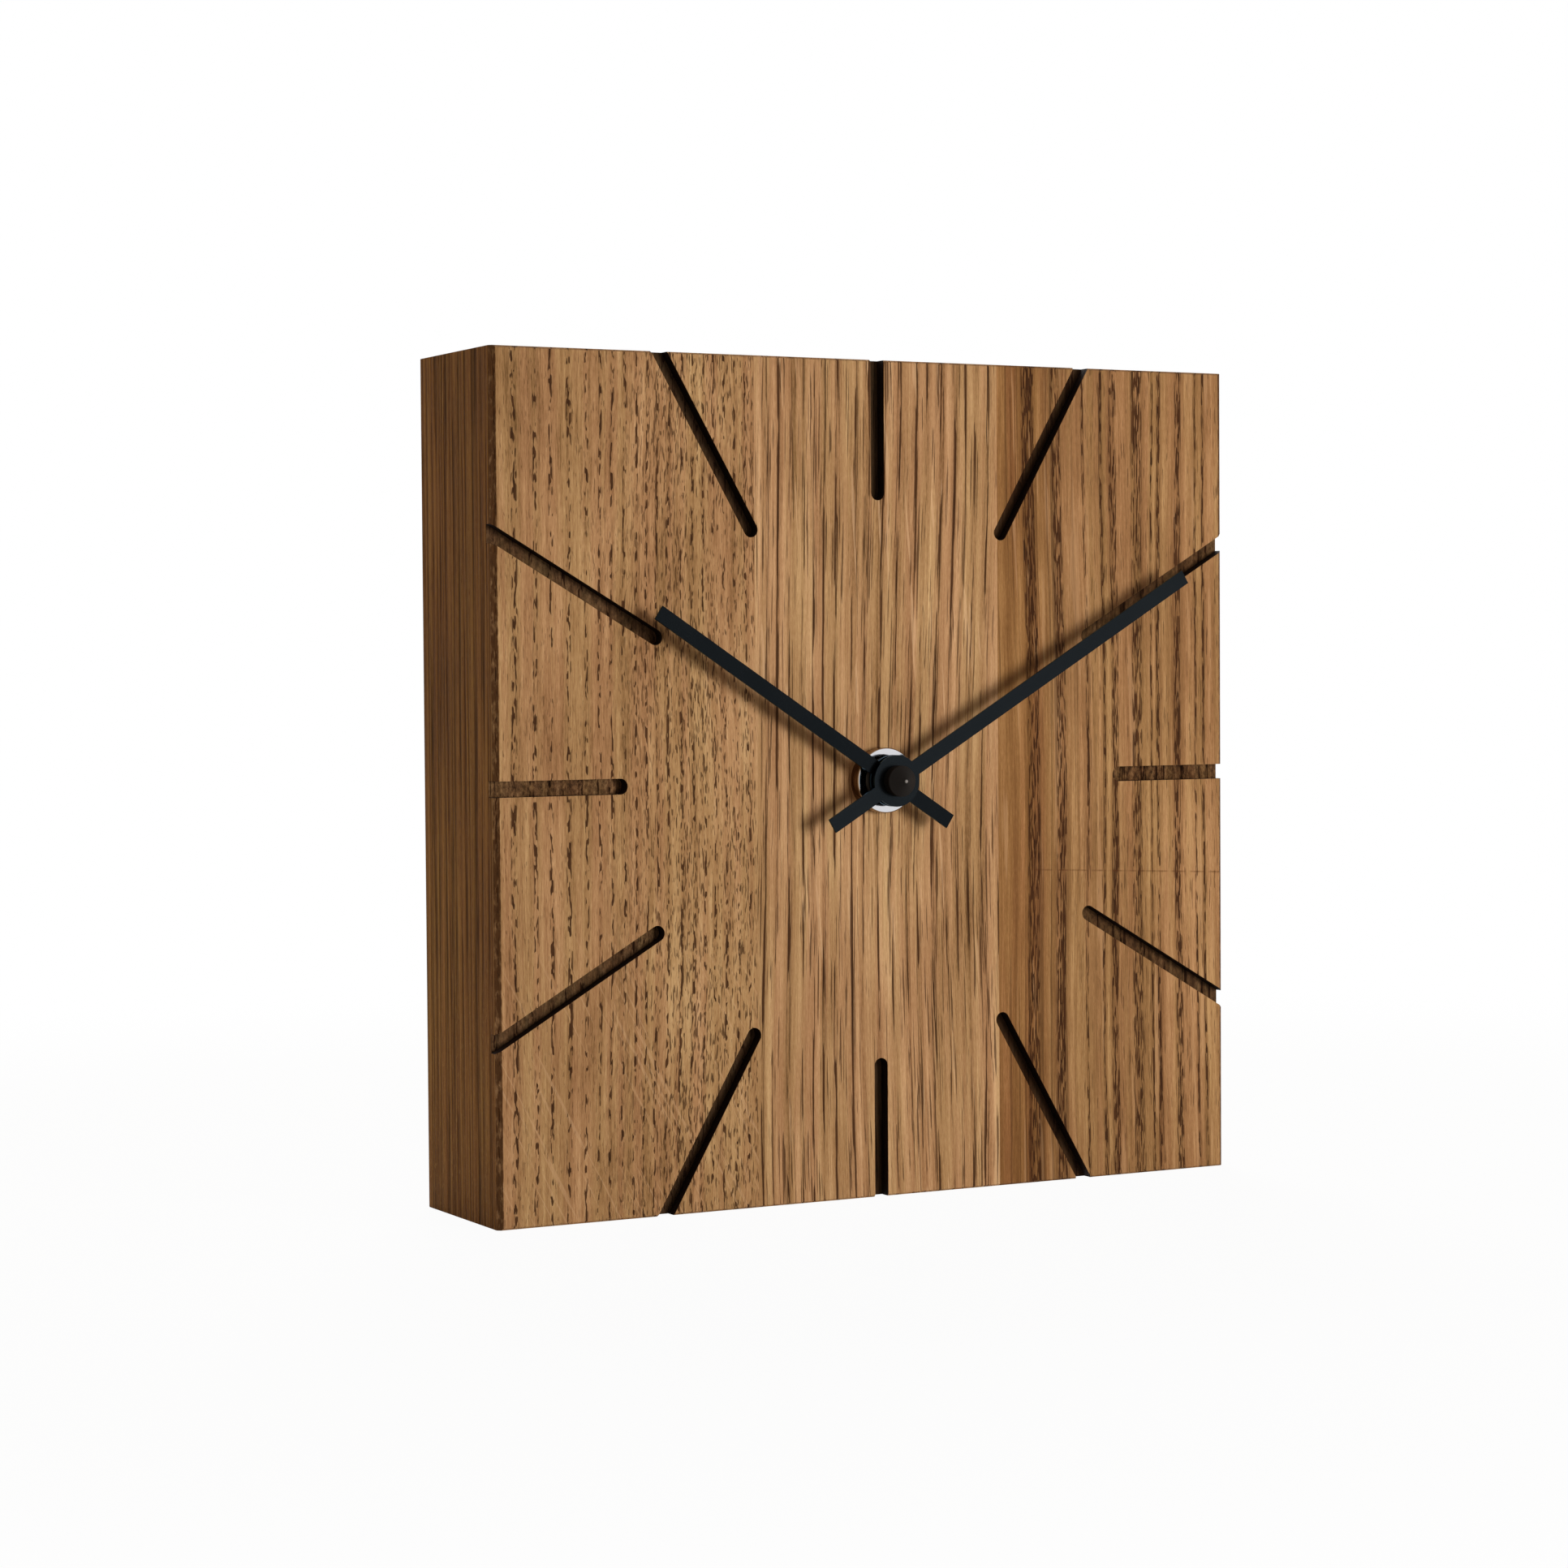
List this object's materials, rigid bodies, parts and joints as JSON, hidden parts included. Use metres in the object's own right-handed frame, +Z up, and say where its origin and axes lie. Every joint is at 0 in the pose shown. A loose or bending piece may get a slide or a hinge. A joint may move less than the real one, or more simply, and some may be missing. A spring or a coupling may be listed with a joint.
{
  "type": "wooden clock",
  "caption": "Square oak block clock with grooved hour marks, flat black hands and a battery quartz movement set into a pocket in its back, for a shelf or a wall.",
  "frame": {"origin": "centre of the underside of the wooden block", "axes": "+Z up the face to twelve, -Y out of the face towards the viewer, +X to three o'clock"},
  "size_m": [0.15, 0.0418, 0.15],
  "materials": {
    "oak": "oiled, open grained",
    "hand_black": "satin black",
    "cap_black": "satin black",
    "nut_steel": "turned bright",
    "brass": "plain",
    "rubber": "matte",
    "case_black": "fine moulded texture",
    "knob_grey": "moulded",
    "plate_grey": "moulded",
    "wheel_white": "moulded",
    "spring_steel": "bright",
    "magnet_grey": "sintered",
    "iron_plate": "stamped",
    "bobbin_plastic": "moulded",
    "copper_wire": "enamelled copper",
    "board_green": "solder mask",
    "chip_black": "resin",
    "crystal_can": "drawn can",
    "battery_jacket": "plain wrapped jacket",
    "contact_steel": "plated strip"
  },
  "bodies": {
    "case": {"left_stave": "oak", "centre_stave": "oak", "right_stave": "oak", "round_nut": "nut_steel", "threaded_bush": "brass", "rubber_washer": "rubber", "movement_case": "case_black", "rear_cover": "case_black", "train_plate": "plate_grey", "stator": "iron_plate", "coil_core": "iron_plate", "coil_bobbin": "bobbin_plastic", "coil_winding": "copper_wire", "circuit_board": "board_green", "control_chip": "chip_black", "quartz_crystal": "crystal_can", "positive_contact": "contact_steel", "negative_contact": "contact_steel"},
    "minute": {"minute_hand": "hand_black", "hand_cap": "cap_black", "minute_arbor": "brass", "clutch_spring": "spring_steel"},
    "hour": {"hour_hand": "hand_black", "hour_wheel": "wheel_white"},
    "motion_wheel": {"minute_wheel": "wheel_white"},
    "knob": {"setting_knob": "knob_grey"},
    "centre": {"centre_wheel": "wheel_white"},
    "third": {"third_wheel": "wheel_white"},
    "seconds": {"seconds_wheel": "wheel_white"},
    "intermediate": {"intermediate_wheel": "wheel_white"},
    "rotor": {"rotor_pinion": "wheel_white", "rotor_magnet": "magnet_grey"},
    "cell": {"battery": "battery_jacket"}
  },
  "joints": [
    {"name": "minute_turn", "type": "hinge", "parent": "case", "child": "minute", "pos_m": [0, 0, 0.075], "axis": [0, 1, 0], "continuous": true},
    {"name": "hour_turn", "type": "hinge", "parent": "case", "child": "hour", "pos_m": [0, 0, 0.075], "axis": [0, 1, 0], "continuous": true},
    {"name": "motion_wheel_turn", "type": "hinge", "parent": "case", "child": "motion_wheel", "pos_m": [0.00773, 0, 0.07293], "axis": [0, 1, 0], "continuous": true},
    {"name": "knob_turn", "type": "hinge", "parent": "case", "child": "knob", "pos_m": [0.01561, 0, 0.07154], "axis": [0, 1, 0], "continuous": true},
    {"name": "seconds_turn", "type": "hinge", "parent": "case", "child": "seconds", "pos_m": [0, 0, 0.075], "axis": [0, 1, 0], "continuous": true},
    {"name": "centre_turn", "type": "hinge", "parent": "case", "child": "centre", "pos_m": [0, 0, 0.075], "axis": [0, 1, 0], "continuous": true},
    {"name": "third_turn", "type": "hinge", "parent": "case", "child": "third", "pos_m": [-0.00779, 0, 0.0795], "axis": [0, 1, 0], "continuous": true},
    {"name": "intermediate_turn", "type": "hinge", "parent": "case", "child": "intermediate", "pos_m": [0.00624, 0, 0.0786], "axis": [0, 1, 0], "continuous": true},
    {"name": "rotor_turn", "type": "hinge", "parent": "case", "child": "rotor", "pos_m": [0.01055, 0, 0.08375], "axis": [0, 1, 0], "continuous": true},
    {"name": "battery_slide", "type": "slide", "parent": "case", "child": "cell", "axis": [0, 1, 0], "range_m": [0, 0.024]}
  ],
  "couplings": [
    {"joint": "hour_turn", "follows": "minute_turn", "ratio": 0.083333},
    {"joint": "motion_wheel_turn", "follows": "minute_turn", "ratio": -0.33333},
    {"joint": "knob_turn", "follows": "minute_turn", "ratio": 1},
    {"joint": "centre_turn", "follows": "seconds_turn", "ratio": 0.016667},
    {"joint": "third_turn", "follows": "seconds_turn", "ratio": -0.13333},
    {"joint": "intermediate_turn", "follows": "seconds_turn", "ratio": -5},
    {"joint": "rotor_turn", "follows": "seconds_turn", "ratio": 30}
  ]
}
